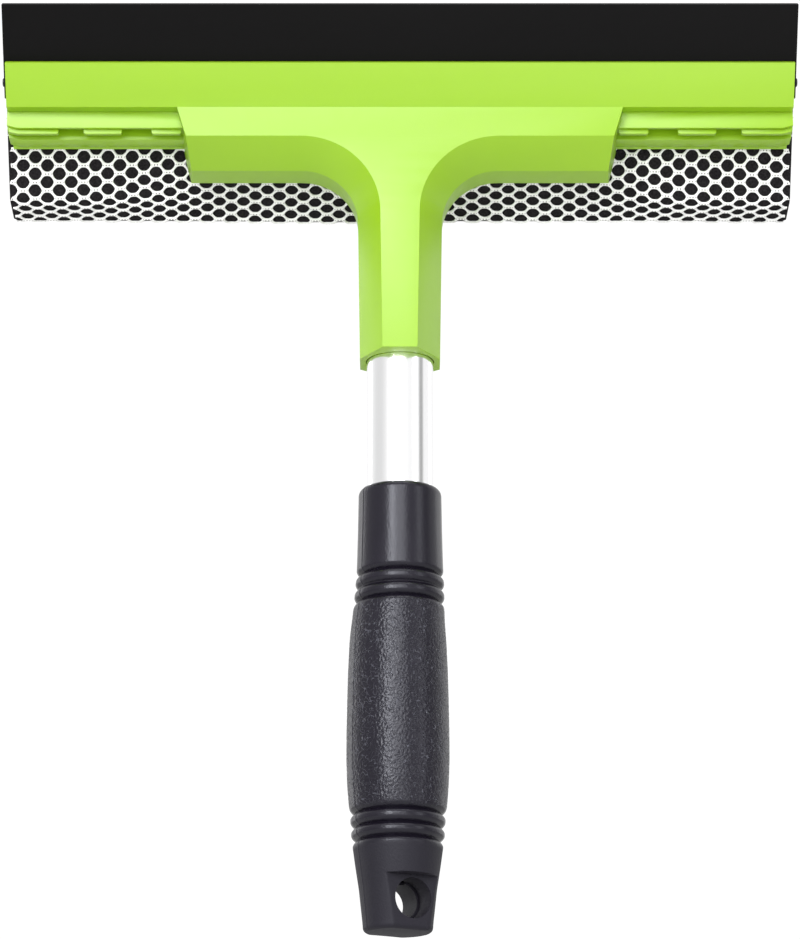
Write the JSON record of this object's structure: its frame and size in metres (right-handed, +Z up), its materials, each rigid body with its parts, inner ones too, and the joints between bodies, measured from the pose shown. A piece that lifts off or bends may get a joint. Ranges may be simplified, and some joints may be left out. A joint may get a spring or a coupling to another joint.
{
  "type": "window cleaning squeegee",
  "caption": "Hand squeegee with a leaning rubber blade clamped in a T-shaped head, a netted foam washing pad behind it, and a short tube with a moulded grip.",
  "frame": {"origin": "middle of the grip's flat lower end, on the handle's axis", "axes": "+Z up the handle towards the blade; +X along the blade to the right when the blade side is viewed; -Y out of the blade side, so the foam pad is at +Y"},
  "size_m": [0.2546, 0.0676, 0.2914],
  "materials": {
    "green_plastic": "satin lime green injection moulding",
    "blade_rubber": "smooth black rubber with a slight sheen",
    "rod_plastic": "black extruded rod",
    "foam": "open-cell black foam",
    "net": "white warp-knit net with rounded holes",
    "screw_steel": "zinc-plated steel",
    "tube_aluminium": "bright drawn tube",
    "plug_plastic": "plain moulding",
    "grip_plastic": "charcoal moulding with leather grain"
  },
  "bodies": {
    "handle_and_head": {"front_frame": "green_plastic", "rear_rail": "green_plastic", "frame_screw_1": "screw_steel", "frame_screw_2": "screw_steel", "frame_screw_3": "screw_steel", "frame_screw_4": "screw_steel", "neck_screw": "screw_steel", "tube": "tube_aluminium", "tube_plug": "plug_plastic", "grip": "grip_plastic"},
    "blade": {"rubber_blade": "blade_rubber"},
    "rod": {"blade_rod": "rod_plastic"},
    "sponge": {"sponge_carrier": "green_plastic", "sponge_foam": "foam", "net_sleeve": "net"}
  },
  "joints": [
    {"name": "blade_slide", "type": "slide", "parent": "handle_and_head", "child": "blade", "axis": [1, 0, 0], "range_m": [0, 0.26]},
    {"name": "rod_slide", "type": "slide", "parent": "blade", "child": "rod", "axis": [1, 0, 0], "range_m": [0, 0.26]},
    {"name": "sponge_slide", "type": "slide", "parent": "handle_and_head", "child": "sponge", "axis": [-1, 0, 0], "range_m": [0, 0.26]}
  ]
}
